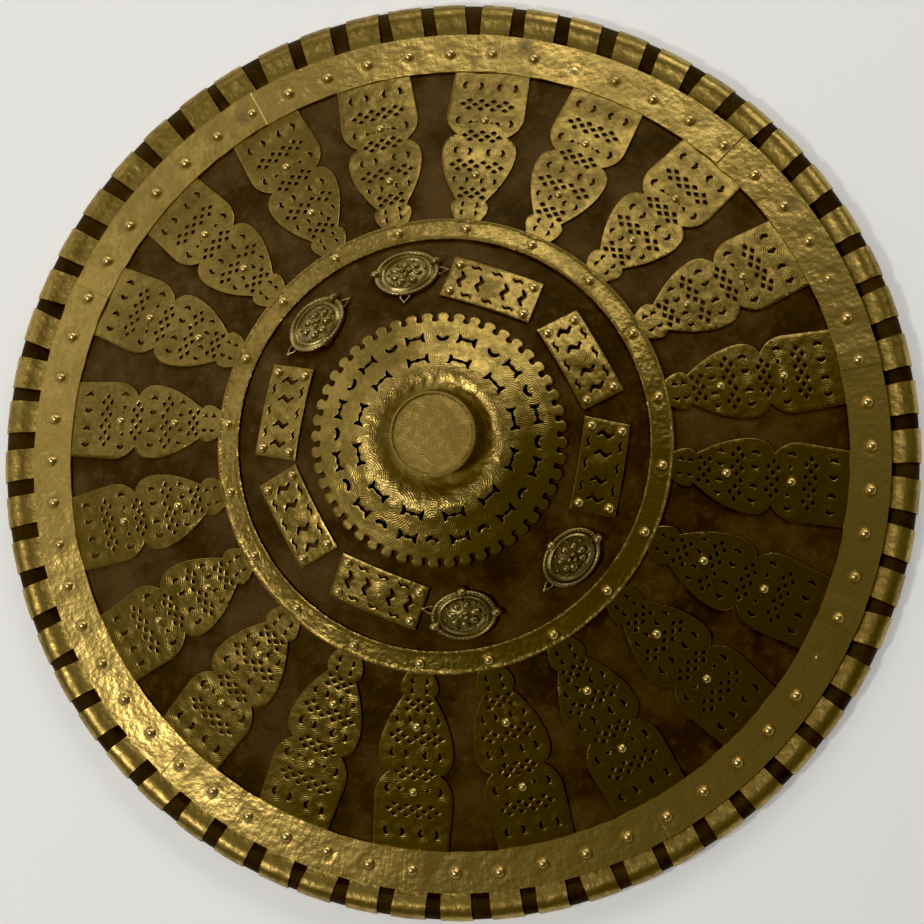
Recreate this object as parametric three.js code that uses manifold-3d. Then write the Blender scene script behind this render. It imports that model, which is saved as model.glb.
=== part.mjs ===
// Round hide buckler with brass mounts, lying on its rim with the boss up.
// Millimetres, +Z up, ground at zero. Bearings are degrees clockwise from +Y, seen from above.
import * as THREE from 'three';
import { mergeVertices } from 'three/addons/utils/BufferGeometryUtils.js';
import Module from 'manifold-3d';

const wasm = await Module();
wasm.setup();
const rad = THREE.MathUtils.degToRad;

// Driving dimensions of the hide
const RADIUS = 210;
const RISE = 0.43;
const EDGE_RADIUS = 197;
const EDGE_HEIGHT = 8;
const CROWN_RADIUS = 52;
const CROWN_HEIGHT = 72.5;
const HIDE_WALL = 5.4;
const FACETS = 60;
const FACET_EDGE_BEARING = 2.6;

// Rolled rim and the sleeves folded over it
const SHEET = 1.1;
const CLEARANCE = 0.35;
const SLEEVE_RADIUS = 6.75;
const SLEEVE_WALL = 0.6;
const SLEEVE_WIDTH = 14.6;
const SLEEVE_TUCK = 0.3;
const ROLL_RADIUS = SLEEVE_RADIUS - SLEEVE_WALL - CLEARANCE;
const ROLL_CORNERS = [95, 30, -35];
const ROLL_CENTRE = RADIUS - SLEEVE_RADIUS * Math.cos(rad(ROLL_CORNERS[1]));
const ROLL_HEIGHT = 5.6;
const ROLL_START = 197.6;
const FOOT_INNER = 201.5;
const FOOT_OUTER = 206;

// Brass band of lapped strips round the edge, and its rivets
const BAND_INNER = 179;
const BAND_OUTER = 197;
const STRIPS = 10;
const BAND_RIVET_RADIUS = 187.3;
const RIVET_HEAD_RADIUS = 2.7;
const RIVET_HEAD_HEIGHT = 2.3;
const RIVET_SIDES = 5;
const SMALL_RIVET_SIDES = 4;
const RIVET_ROOT = 0.4;

// Long plaques between band and ring
const PLAQUES = 20;
const PLAQUE_BEARING = 6.1;
const PLAQUE_FOOT_RADIUS = 102.2;
const PLAQUE_HEAD_RADIUS = 177.4;
const PLAQUE_HEAD = { half: 16.9 };
const PLAQUE_SHOULDER = { half: 17.4, share: 0.71 };
const PLAQUE_WAIST = { half: 11.4, share: 0.58 };
const PLAQUE_LOBE = { half: 16.7, share: 0.46 };
const PLAQUE_NECK = { half: 6.4, share: 0.125 };
const PLAQUE_EAR = { half: 9.9, share: 0.06 };
const PLAQUE_FOOT = { half: 4.8 };
const PLAQUE_CUSP = { above: 0.61, below: 0.56 };
const PLAQUE_CURVE_STEPS = 2;
const PLAQUE_RIVETS = [0.32, 0.7];
const PLAQUE_RIVET_RADIUS = 2;

// Ring inside the plaques
const RING_INNER = 91.6;
const RING_OUTER = 101.5;
const RING_SIDES = 40;

// Mounts between ring and boss
const TABLET_RADIUS = 70.8;
const TABLET_LENGTH = 41;
const TABLET_WIDTH = 21;
const TABLET_BENDS = 4;
const TABLET_RIVET_INSET = 3.4;
const TABLET_RIVET_RADIUS = 2.2;
const TABLET_BEARINGS = [18.6, 60.2, 99.7, 202.4, 242.8, 281.4];
const ROUNDEL_RADIUS = 76;
const ROUNDEL_SIZE = 13.4;
const ROUNDEL_LONG = 14.7;
const ROUNDEL_SHORT = 11.4;
const ROUNDEL_SIDES = 9;
const ROUNDEL_STEPS = [[0, 0], [1.4, 2.8], [3.4, 1.9], [6.4, 4]];
const ROUNDEL_HEIGHT = 4.8;
const LUG_BALL = 1.9;
const LUG_BALL_REACH = 12.6;
const LUG_LOOP = 2.6;
const LUG_LOOP_REACH = 15.4;
const ROUNDELS = [
  { bearing: 131.9, balls: [303, 58], loops: [218] },
  { bearing: 172.4, balls: [355, 85, 246], loops: [284] },
  { bearing: 313.8, balls: [29, 143], loops: [55, 226] },
  { bearing: 348.5, balls: [270, 66], loops: [88, 178] },
];

// Boss plate with its toothed flange, and the knob
const BOSS_SIDES = 24;
const BOSS_FLANGE = 56.1;
const BOSS_SHOULDER = 45;
const BOSS_CREST = 27;
const BOSS_DISH = 20;
const BOSS_FLANGE_LIFT = 2;
const BOSS_SHOULDER_LIFT = 1.8;
const BOSS_CREST_HEIGHT = 79;
const BOSS_DISH_HEIGHT = 78;
const TEETH = 48;
const NOTCH_WIDTH = 3.6;
const NOTCH_DEPTH = 3.6;
const SLOTS = 12;
const SLOT_BEARING = 17.2;
const SLOT_ROWS = [{ radius: 44.5, length: 9 }, { radius: 34.5, length: 8.6 }];
const SLOT_WIDTH = 1.6;
const SLOT_DEPTH = 2.2;
const KNOB_TOP = 89;
const KNOB_RADIUS = 18.5;
const KNOB_DISC = 3;
const KNOB_NECK = 13;
const KNOB_FLARE = 2;
const KNOB_SIDES = 18;

// Grip of two straps across the hollow back
const GRIP_BEARING = 150.2;
const GRIP_OFFSET = 24.5;
const GRIP_WIDTH = 20;
const GRIP_LEATHER = 4;
const GRIP_TILT = 7.5;
const GRIP_LINE = [[0, 34], [26, 37.5], [46, 49], [60, 58], [80, 50.2]];

// Finishes
const BRASS = { color: 0x9c8138, roughness: 0.36, metalness: 1 };
const DARK_BRASS = { color: 0x6e5c2e, roughness: 0.42, metalness: 1 };
const HIDE = { color: 0x3a2814, roughness: 0.72, metalness: 0 };

const PITCH = Math.atan(RISE);
const FACET = 360 / FACETS;
const FACET_DROP = 1 - Math.cos(rad(FACET / 2));
const HEAD_LIFT = CLEARANCE + SHEET;
const CUT_TALL = 40;

// Point on a bearing, at a radius and a height.
function at(bearing, radius, height) {
  return new THREE.Vector3(radius * Math.sin(rad(bearing)), radius * Math.cos(rad(bearing)), height);
}

// Height of the hide's outer face on the conical part.
function hideTop(radius) {
  return EDGE_HEIGHT + RISE * (EDGE_RADIUS - radius);
}

// Frame on the hide: X clockwise, Y down the slope to the rim, Z straight off the face.
function seat(bearing, radius, lift) {
  const across = at(bearing + 90, 1, 0);
  const down = at(bearing, Math.cos(PITCH), -Math.sin(PITCH));
  const off = at(bearing, Math.sin(PITCH), Math.cos(PITCH));
  const spot = at(bearing, radius, hideTop(radius)).addScaledVector(off, lift);
  return new THREE.Matrix4().makeBasis(across, down, off).setPosition(spot);
}

// Frame through the middle of the shield: X out along a bearing, Y up, Z clockwise.
function upright(bearing) {
  return new THREE.Matrix4().makeBasis(at(bearing, 1, 0), at(0, 0, 1), at(bearing + 90, 1, 0));
}

// Corner of the rolled rim's section, at an angle above the horizontal.
function rollCorner(angle, radius) {
  return [ROLL_CENTRE + radius * Math.cos(rad(angle)), ROLL_HEIGHT + radius * Math.sin(rad(angle))];
}

function shapeOf(points) {
  return new THREE.Shape(points.map(([x, y]) => new THREE.Vector2(x, y)));
}

// Section of [radius, height] points, anticlockwise, turned into a whole ring.
function turned(section, sides, edgeBearing) {
  const points = section.map(([radius, height]) => new THREE.Vector2(radius, height));
  return new THREE.LatheGeometry(points, sides, rad(180 - edgeBearing)).rotateX(Math.PI / 2);
}

// Section of [radius, height] points swept clockwise from a bearing, one flat facet a step.
function swept(section, start, step, count) {
  const options = { depth: count, steps: count, bevelEnabled: false };
  const geometry = new THREE.ExtrudeGeometry(shapeOf(section), options);
  const spots = geometry.attributes.position;
  for (let i = 0; i < spots.count; i += 1) {
    const spot = at(start + step * spots.getZ(i), spots.getX(i), spots.getY(i));
    spots.setXYZ(i, spot.x, spot.y, spot.z);
  }
  return geometry;
}

// Frame on the hide under a point of flat sheet, X across and Y down the slope from a bearing and
// radius, once the sheet is bent round the cone without stretching.
function wrappedSeat(bearing, radius, x, y, lift) {
  const slant = radius / Math.cos(PITCH) + y;
  const turn = THREE.MathUtils.radToDeg(Math.atan2(x, slant)) / Math.cos(PITCH);
  return seat(bearing + turn, Math.hypot(x, slant) * Math.cos(PITCH), lift);
}

// Flat geometry, X across and Y down the slope, bent round the cone at a bearing and radius.
function bentOn(geometry, bearing, radius) {
  const spots = geometry.attributes.position;
  for (let i = 0; i < spots.count; i += 1) {
    const place = wrappedSeat(bearing, radius, spots.getX(i), spots.getY(i), spots.getZ(i));
    const spot = new THREE.Vector3().applyMatrix4(place);
    spots.setXYZ(i, spot.x, spot.y, spot.z);
  }
  return geometry;
}

// Closed geometry as a solid: shared corners welded, collapsed triangles dropped.
function solid(geometry) {
  const bare = geometry.clone();
  bare.deleteAttribute('normal');
  bare.deleteAttribute('uv');
  const welded = mergeVertices(bare);
  const corners = welded.index.array;
  const triangles = [];
  for (let i = 0; i < corners.length; i += 3) {
    const [a, b, c] = corners.slice(i, i + 3);
    if (a !== b && b !== c && c !== a) triangles.push(a, b, c);
  }
  return new wasm.Manifold(new wasm.Mesh({
    numProp: 3,
    vertProperties: new Float32Array(welded.attributes.position.array),
    triVerts: new Uint32Array(triangles),
  }));
}

function geometryOf(body) {
  const mesh = body.getMesh();
  const geometry = new THREE.BufferGeometry();
  geometry.setAttribute('position', new THREE.BufferAttribute(mesh.vertProperties, 3));
  geometry.setIndex(new THREE.BufferAttribute(mesh.triVerts, 1));
  geometry.computeVertexNormals();
  return geometry;
}

function fused(base, extras) {
  return extras.reduce((sum, extra) => sum.add(solid(extra)), solid(base));
}

// Domed rivet head with few sides, its root sunk in the sheet it stands on.
function rivetHead(radius) {
  const sides = radius < RIVET_HEAD_RADIUS ? SMALL_RIVET_SIDES : RIVET_SIDES;
  const height = radius * RIVET_HEAD_HEIGHT / RIVET_HEAD_RADIUS;
  const head = new THREE.ConeGeometry(radius, height + RIVET_ROOT, sides);
  return head.rotateX(Math.PI / 2).translate(0, 0, (height - RIVET_ROOT) / 2);
}

function seatedRivet(bearing, radius, headRadius) {
  return rivetHead(headRadius).applyMatrix4(seat(bearing, radius, HEAD_LIFT));
}

// Upright box centred on a bearing, its length across the bearing.
function boxAt(bearing, radius, height, length, width, depth) {
  const box = new THREE.BoxGeometry(length, width, depth).rotateZ(-rad(bearing));
  return box.translate(...at(bearing, radius, height).toArray());
}

// Conical shell of hide, closed at the crown, with a rolled rim flattened where it rests.
function hideGeometry() {
  const roll = ROLL_CORNERS.map((angle) => rollCorner(angle, ROLL_RADIUS)).reverse();
  const section = [
    [0, CROWN_HEIGHT - HIDE_WALL],
    [CROWN_RADIUS, hideTop(CROWN_RADIUS) - HIDE_WALL],
    [FOOT_INNER, 0],
    [FOOT_OUTER, 0],
    ...roll,
    [ROLL_START, hideTop(ROLL_START)],
    [CROWN_RADIUS, hideTop(CROWN_RADIUS)],
    [0, CROWN_HEIGHT],
  ];
  return turned(section, FACETS, FACET_EDGE_BEARING);
}

// Section of sheet brass lying on the cone between two radii.
function sheetSection(inner, outer) {
  const under = CLEARANCE / Math.cos(PITCH);
  const over = HEAD_LIFT / Math.cos(PITCH);
  return [
    [inner, hideTop(inner) + under],
    [outer, hideTop(outer) + under],
    [outer, hideTop(outer) + over],
    [inner, hideTop(inner) + over],
  ];
}

// Sleeve folded over the rolled rim, its tail under the edge of the band.
function sleeveGeometry(bearing) {
  const tail = BAND_OUTER - SLEEVE_TUCK;
  const tailHeight = hideTop(tail) + SHEET;
  const outside = ROLL_CORNERS.map((angle) => rollCorner(angle, SLEEVE_RADIUS));
  const inside = ROLL_CORNERS.map((angle) => rollCorner(angle, SLEEVE_RADIUS - SLEEVE_WALL));
  const section = [[tail, tailHeight], ...outside, ...inside.reverse(), [tail, tailHeight - SLEEVE_WALL]];
  const geometry = new THREE.ExtrudeGeometry(shapeOf(section), { depth: SLEEVE_WIDTH, bevelEnabled: false });
  geometry.translate(-FACET_DROP * ROLL_CENTRE, 0, -SLEEVE_WIDTH / 2);
  return geometry.applyMatrix4(upright(bearing));
}

// One strip of the band with the sleeves it clamps and its row of rivets.
function bandStripGeometry(index) {
  const perStrip = FACETS / STRIPS;
  const start = FACET_EDGE_BEARING + index * perStrip * FACET;
  const strip = swept(sheetSection(BAND_INNER, BAND_OUTER), start, FACET, perStrip);
  const extras = [];
  for (let i = 0; i < perStrip; i += 1) {
    const middle = start + (i + 0.5) * FACET;
    extras.push(sleeveGeometry(middle));
    extras.push(seatedRivet(middle, BAND_RIVET_RADIUS * (1 - FACET_DROP), RIVET_HEAD_RADIUS));
  }
  const width = BAND_OUTER - BAND_INNER;
  const seam = boxAt(start, BAND_INNER + width / 2, EDGE_HEIGHT, CLEARANCE, 2 * width, CUT_TALL);
  return geometryOf(fused(strip, extras).subtract(solid(seam)));
}

// Outline of a long plaque: square head, two lobes with a waist, and an eared foot on the ring.
function plaqueShape(length) {
  const { half: lobe, share: lobeAt } = PLAQUE_LOBE;
  const { half: waist, share: waistAt } = PLAQUE_WAIST;
  const { half: shoulder, share: shoulderAt } = PLAQUE_SHOULDER;
  const { half: neck, share: neckAt } = PLAQUE_NECK;
  const side = new THREE.Path().moveTo(PLAQUE_HEAD.half, length);
  side.lineTo(shoulder, shoulderAt * length);
  side.quadraticCurveTo(shoulder, PLAQUE_CUSP.above * length, waist, waistAt * length);
  side.quadraticCurveTo(lobe, PLAQUE_CUSP.below * length, lobe, lobeAt * length);
  side.quadraticCurveTo(lobe, (lobeAt + neckAt) / 2 * length, neck, neckAt * length);
  side.quadraticCurveTo(PLAQUE_EAR.half, PLAQUE_EAR.share * length, PLAQUE_FOOT.half, 0);
  const right = side.getPoints(PLAQUE_CURVE_STEPS);
  const left = right.map((point) => new THREE.Vector2(-point.x, point.y)).reverse();
  return new THREE.Shape([...right, ...left]);
}

// Long plaque lying flat along a generator of the cone, with its two rivets.
function plaqueGeometry(bearing) {
  const length = (PLAQUE_HEAD_RADIUS - PLAQUE_FOOT_RADIUS) / Math.cos(PITCH);
  const plate = new THREE.ExtrudeGeometry(plaqueShape(length), { depth: SHEET, bevelEnabled: false });
  const heads = PLAQUE_RIVETS.map((share) => {
    return rivetHead(PLAQUE_RIVET_RADIUS).translate(0, (1 - share) * length, SHEET);
  });
  return geometryOf(fused(plate, heads)).applyMatrix4(seat(bearing, PLAQUE_FOOT_RADIUS, CLEARANCE));
}

function ringGeometry() {
  const section = sheetSection(RING_INNER, RING_OUTER);
  const ring = turned([...section, section[0]], RING_SIDES, PLAQUE_BEARING + 180 / RING_SIDES);
  const heads = [];
  for (let i = 0; i < PLAQUES; i += 1) {
    const bearing = PLAQUE_BEARING + i * 360 / PLAQUES;
    heads.push(seatedRivet(bearing, (RING_INNER + RING_OUTER) / 2, PLAQUE_RIVET_RADIUS));
  }
  return geometryOf(fused(ring, heads));
}

// Tablet bent round the cone, with a rivet at each corner.
function tabletGeometry(bearing) {
  const plate = new THREE.BoxGeometry(TABLET_LENGTH, TABLET_WIDTH, SHEET, TABLET_BENDS);
  bentOn(plate.translate(0, 0, CLEARANCE + SHEET / 2), bearing, TABLET_RADIUS);
  const heads = [];
  for (const end of [-1, 1]) {
    for (const side of [-1, 1]) {
      const x = end * (TABLET_LENGTH / 2 - TABLET_RIVET_INSET);
      const y = side * (TABLET_WIDTH / 2 - TABLET_RIVET_INSET);
      const place = wrappedSeat(bearing, TABLET_RADIUS, x, y, HEAD_LIFT);
      heads.push(rivetHead(TABLET_RIVET_RADIUS).applyMatrix4(place));
    }
  }
  return geometryOf(fused(plate, heads));
}

// Cast roundel: moulded rim, sunk ring and raised centre, with riveted balls and loop lugs round it. It is
// turned round, then drawn out to an oval that lies lengthways round the shield.
function roundelGeometry({ bearing, balls, loops }) {
  const face = ROUNDEL_STEPS.map(([inset, height]) => [ROUNDEL_SIZE - inset, height]);
  const disc = turned([[0, 0], ...face, [0, ROUNDEL_HEIGHT]], ROUNDEL_SIDES, 0);
  const extras = balls.map((angle) => {
    const ball = new THREE.OctahedronGeometry(LUG_BALL);
    const spot = at(angle, LUG_BALL_REACH, LUG_BALL);
    return ball.translate(spot.x, spot.y, spot.z);
  });
  for (const angle of loops) {
    const lug = new THREE.CylinderGeometry(LUG_LOOP, LUG_LOOP, SHEET, 3).rotateX(Math.PI / 2);
    const spot = at(angle, LUG_LOOP_REACH - LUG_LOOP, SHEET);
    extras.push(lug.rotateZ(-rad(angle)).translate(spot.x, spot.y, spot.z));
  }
  const place = seat(bearing, ROUNDEL_RADIUS, CLEARANCE);
  place.multiply(new THREE.Matrix4().makeScale(ROUNDEL_LONG / ROUNDEL_SIZE, ROUNDEL_SHORT / ROUNDEL_SIZE, 1));
  place.multiply(new THREE.Matrix4().makeRotationZ(rad(bearing)));
  return geometryOf(fused(disc, extras)).applyMatrix4(place);
}

// Outer face of the boss from its flange to the middle, as [radius, height] points.
function bossProfile() {
  const flange = hideTop(BOSS_FLANGE) + BOSS_FLANGE_LIFT;
  const shoulder = hideTop(BOSS_SHOULDER) + BOSS_SHOULDER_LIFT;
  const bulge = (shoulder + 2 * BOSS_CREST_HEIGHT) / 3;
  return [
    [BOSS_FLANGE, flange],
    [BOSS_SHOULDER, shoulder],
    [(BOSS_SHOULDER + BOSS_CREST) / 2, bulge],
    [BOSS_CREST, BOSS_CREST_HEIGHT],
    [BOSS_DISH, BOSS_DISH_HEIGHT],
  ];
}

// Height of the boss's outer face at a radius.
function bossTop(radius) {
  const profile = bossProfile();
  const inner = profile.findIndex((point) => point[0] <= radius);
  const [r0, z0] = profile[inner - 1];
  const [r1, z1] = profile[inner];
  return THREE.MathUtils.mapLinear(radius, r0, r1, z0, z1);
}

// Upright wedge that cuts a notch of the flange, its point towards the middle.
function notchAt(bearing) {
  const wedge = shapeOf([[0, -NOTCH_DEPTH], [NOTCH_WIDTH, NOTCH_DEPTH], [-NOTCH_WIDTH, NOTCH_DEPTH]]);
  const cut = new THREE.ExtrudeGeometry(wedge, { depth: CUT_TALL, bevelEnabled: false });
  const spot = at(bearing, BOSS_FLANGE, hideTop(BOSS_FLANGE) - CUT_TALL / 2);
  return cut.rotateZ(-rad(bearing)).translate(spot.x, spot.y, spot.z);
}

// Low brass dome over the crown of the hide: flange cut into teeth, two rows of slots.
function bossGeometry() {
  const under = CLEARANCE / Math.cos(PITCH);
  const section = [
    [0, CROWN_HEIGHT + under],
    [CROWN_RADIUS, hideTop(CROWN_RADIUS) + under],
    [BOSS_FLANGE, hideTop(BOSS_FLANGE) + BOSS_FLANGE_LIFT - SHEET],
    ...bossProfile(),
    [0, BOSS_DISH_HEIGHT],
  ];
  const dome = turned(section, BOSS_SIDES, SLOT_BEARING + 180 / BOSS_SIDES);
  const cuts = [];
  for (let i = 0; i < TEETH; i += 1) {
    cuts.push(notchAt(SLOT_BEARING + (i + 0.5) * 360 / TEETH));
  }
  for (const { radius, length } of SLOT_ROWS) {
    for (let i = 0; i < SLOTS; i += 1) {
      const bearing = SLOT_BEARING + i * 360 / SLOTS;
      cuts.push(boxAt(bearing, radius, bossTop(radius), length, SLOT_WIDTH, 2 * SLOT_DEPTH));
    }
  }
  return geometryOf(cuts.reduce((sum, cut) => sum.subtract(solid(cut)), solid(dome)));
}

// Turned knob: waisted neck under a flat disc with a rounded edge.
function knobGeometry() {
  const foot = BOSS_DISH_HEIGHT + CLEARANCE;
  const section = [
    [0, foot],
    [BOSS_DISH - KNOB_FLARE, foot],
    [KNOB_NECK, foot + KNOB_FLARE],
    [KNOB_NECK, KNOB_TOP - KNOB_DISC - KNOB_FLARE],
    [KNOB_RADIUS, KNOB_TOP - KNOB_DISC],
    [KNOB_RADIUS, KNOB_TOP],
    [0, KNOB_TOP],
  ];
  return turned(section, KNOB_SIDES, 0);
}

// Strap bowed across the hollow, its ends lying against the inside of the hide.
function gripGeometry(side) {
  const left = GRIP_LINE.slice(1).map(([x, z]) => [-x, z]).reverse();
  const upper = [...left, ...GRIP_LINE];
  const lower = upper.map(([x, z]) => [x, z - GRIP_LEATHER]).reverse();
  const options = { depth: GRIP_WIDTH, bevelEnabled: false };
  const strap = new THREE.ExtrudeGeometry(shapeOf([...upper, ...lower]), options);
  const end = GRIP_LINE.at(-1)[1];
  strap.translate(0, -end, -GRIP_WIDTH / 2).rotateX(side * rad(GRIP_TILT));
  return strap.translate(0, end, side * GRIP_OFFSET).applyMatrix4(upright(GRIP_BEARING));
}

const group = new THREE.Group();

function add(name, geometry, finish) {
  const mesh = new THREE.Mesh(geometry, new THREE.MeshStandardMaterial(finish));
  mesh.name = name;
  group.add(mesh);
}

add('hide', hideGeometry(), HIDE);
for (let i = 0; i < STRIPS; i += 1) {
  add(`band_strip_${i + 1}`, bandStripGeometry(i), BRASS);
}
for (let i = 0; i < PLAQUES; i += 1) {
  add(`plaque_${i + 1}`, plaqueGeometry(PLAQUE_BEARING + i * 360 / PLAQUES), BRASS);
}
add('inner_ring', ringGeometry(), BRASS);
TABLET_BEARINGS.forEach((bearing, i) => add(`tablet_${i + 1}`, tabletGeometry(bearing), BRASS));
ROUNDELS.forEach((roundel, i) => add(`roundel_${i + 1}`, roundelGeometry(roundel), DARK_BRASS));
add('boss', bossGeometry(), BRASS);
add('knob', knobGeometry(), BRASS);
add('grip_strap_1', gripGeometry(-1), HIDE);
add('grip_strap_2', gripGeometry(1), HIDE);

export default group;
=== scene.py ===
# %% [markdown]
# # A round hide buckler with brass mounts
#
# The real shield is one dished cone of thick hide. Brass is riveted over it: sleeves on the rolled rim, a
# band, pierced plaques, a ring, small mounts and a boss. It lies on its rim, so all of it sits on that cone.
# Everything below is drawn in millimetres on the same cone as the solids, and scaled to metres at the end.

# %% Frame, units and the cone
import math
import random

import bmesh
import bpy
from mathutils import Matrix, Vector, noise


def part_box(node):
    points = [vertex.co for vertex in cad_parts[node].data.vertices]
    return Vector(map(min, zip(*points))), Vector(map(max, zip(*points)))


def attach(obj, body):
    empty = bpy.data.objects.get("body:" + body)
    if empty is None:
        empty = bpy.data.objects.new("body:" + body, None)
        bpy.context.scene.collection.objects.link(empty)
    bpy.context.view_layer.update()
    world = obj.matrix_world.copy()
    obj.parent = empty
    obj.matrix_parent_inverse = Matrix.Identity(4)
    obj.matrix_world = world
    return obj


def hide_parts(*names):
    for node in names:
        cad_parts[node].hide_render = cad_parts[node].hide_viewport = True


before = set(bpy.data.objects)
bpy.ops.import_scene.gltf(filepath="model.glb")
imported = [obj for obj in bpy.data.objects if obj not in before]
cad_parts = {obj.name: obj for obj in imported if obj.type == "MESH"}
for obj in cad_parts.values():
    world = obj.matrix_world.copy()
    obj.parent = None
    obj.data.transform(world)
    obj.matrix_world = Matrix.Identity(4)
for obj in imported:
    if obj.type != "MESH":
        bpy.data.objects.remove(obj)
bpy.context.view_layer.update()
MM = 0.001
RISE = 0.43
PITCH = math.atan(RISE)
RIM_RADIUS = 197
RIM_TOP = 8
SHEET = 1.1
GAP = 0.35


def at(bearing, radius, height=0.0):
    """Point on a bearing, in degrees clockwise from +Y, at a radius and a height."""
    turn = math.radians(bearing)
    return Vector((radius * math.sin(turn), radius * math.cos(turn), height))


def hide_top(radius):
    """Height of the cone's outer face at a radius."""
    return RIM_TOP + RISE * (RIM_RADIUS - radius)


def seat(bearing, radius, lift=0.0):
    """Frame on the cone: X clockwise, Y down the slope, Z straight off the face."""
    off = at(bearing, math.sin(PITCH), math.cos(PITCH))
    down = at(bearing, math.cos(PITCH), -math.sin(PITCH))
    turn = Matrix((at(bearing + 90, 1), down, off)).transposed().to_4x4()
    return Matrix.Translation(at(bearing, radius, hide_top(radius)) + off * lift) @ turn


def wrapped_seat(bearing, radius, x, y, lift=0.0):
    """Seat under a point of flat sheet, once the sheet is bent round the cone without stretching."""
    slant = radius / math.cos(PITCH) + y
    turn = math.degrees(math.atan2(x, slant)) / math.cos(PITCH)
    return seat(bearing + turn, math.hypot(x, slant) * math.cos(PITCH), lift)


def lay_on_cone(bm, bearing, radius):
    """Bends flat work, X across and Y down the slope, round the cone."""
    for vert in bm.verts:
        vert.co = wrapped_seat(bearing, radius, *vert.co).translation


# %% [markdown]
# ## Camera
#
# The photograph looks almost straight down on the boss, from a little to the lower right. A long lens keeps
# the rim round. The camera is turned by its own axes, so that +Y stays up in the picture.

# %% Camera
AIM = Vector((4.6, -4.5, 20)) * MM
VIEW_TILT = 8.9
VIEW_BEARING = 133.5
VIEW_DISTANCE = 1.3
FOCAL_LENGTH = 111.9
SENSOR = 36
scene = bpy.context.scene
lens = bpy.data.cameras.new("camera")
lens.lens = FOCAL_LENGTH
lens.sensor_width = SENSOR
camera = bpy.data.objects.new("camera", lens)
scene.collection.objects.link(camera)
tilt = math.radians(VIEW_TILT)
back = at(VIEW_BEARING, math.sin(tilt), math.cos(tilt))
right = Vector((0, 1, 0)).cross(back).normalized()
turn = Matrix((right, back.cross(right), back)).transposed().to_4x4()
camera.matrix_world = Matrix.Translation(AIM + back * VIEW_DISTANCE) @ turn
scene.camera = camera
print("camera stands", round(camera.location.z, 3), "m up")

# %% [markdown]
# ## Floor and light
#
# The shield lies on a pale floor. The photograph's highlights and the knob's shadow say where its light came
# from: a small lamp at the left with a softer one by it, a wide one beyond the top, and a low window at the
# upper left. The rest of the room is dim, so the lower right stays dark and the brass keeps its contrast.
# The picture is developed with a raised black point, as the photograph was: its darks are deep and warm.

# %% Floor and light
BLACK_POINT = 0.008
WARM = (1.0, 0.955, 0.86)
LAMP_DISTANCE = 1.7
ROOM_LIGHT = 0.07
FLOOR_HALF = 8
bm = bmesh.new()
bmesh.ops.create_grid(bm, x_segments=8, y_segments=8, size=FLOOR_HALF)
mesh = bpy.data.meshes.new("floor")
bm.to_mesh(mesh)
bm.free()
floor = bpy.data.objects.new("floor", mesh)
scene.collection.objects.link(floor)
room = bpy.data.worlds.new("room")
room.use_nodes = True
background = room.node_tree.nodes["Background"]
background.inputs["Color"].default_value = (*WARM, 1)
background.inputs["Strength"].default_value = ROOM_LIGHT
scene.world = room
scene.view_settings.view_transform = "Standard"
scene.view_settings.use_curve_mapping = True
scene.view_settings.curve_mapping.black_level = (BLACK_POINT,) * 3
scene.view_settings.curve_mapping.update()


def soft_box(name, bearing, height, size, watts):
    """Lamp of a width and a depth that looks at the boss from a bearing and an angle above the floor."""
    lamp = bpy.data.lights.new(name, "AREA")
    lamp.shape = "RECTANGLE"
    lamp.size, lamp.size_y = size
    lamp.energy = watts
    lamp.color = WARM
    box = bpy.data.objects.new(name, lamp)
    scene.collection.objects.link(box)
    rise = math.radians(height)
    box.location = at(bearing, LAMP_DISTANCE * math.cos(rise), LAMP_DISTANCE * math.sin(rise))
    box.rotation_euler = box.location.to_track_quat("Z", "Y").to_euler()
    print(name, "at", tuple(round(c, 2) for c in box.location))


soft_box("lamp_key", 242, 59, (0.2, 0.2), 6.5)
soft_box("lamp_above", 250, 70, (0.5, 0.5), 1.0)
soft_box("lamp_top", 17, 36, (1.8, 0.5), 8.3)
soft_box("lamp_window", 300, 28, (1.4, 1.4), 4.0)

# %% [markdown]
# ## Writing a finish as arithmetic
#
# A material is a sum of patterns. Wiring it by hand is slow to read, so a small class wraps a socket and
# lets Python's operators add the Math nodes. Every other node comes from one method of the finish.


# %% Finishes as expressions
class Signal:
    """One output of a finish's nodes, with Python's arithmetic."""

    def __init__(self, finish, socket):
        self.finish = finish
        self.socket = socket

    def math(self, operation, *values):
        settings = {"operation": operation}
        return self.finish.node("ShaderNodeMath", settings, dict(enumerate(values)))

    def __add__(self, other):
        return self.math("ADD", self, other)

    def __sub__(self, other):
        return self.math("SUBTRACT", self, other)

    def __rsub__(self, other):
        return self.math("SUBTRACT", other, self)

    def __mul__(self, other):
        return self.math("MULTIPLY", self, other)

    def __truediv__(self, other):
        return self.math("DIVIDE", self, other)

    def sin(self):
        return self.math("SINE", self)

    def clamp(self, low, high):
        """Smooth step from 0 at low to 1 at high."""
        settings = {"interpolation_type": "SMOOTHSTEP"}
        return self.finish.node("ShaderNodeMapRange", settings, {"Value": self, 1: low, 2: high})

    __radd__ = __add__
    __rmul__ = __mul__


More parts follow.
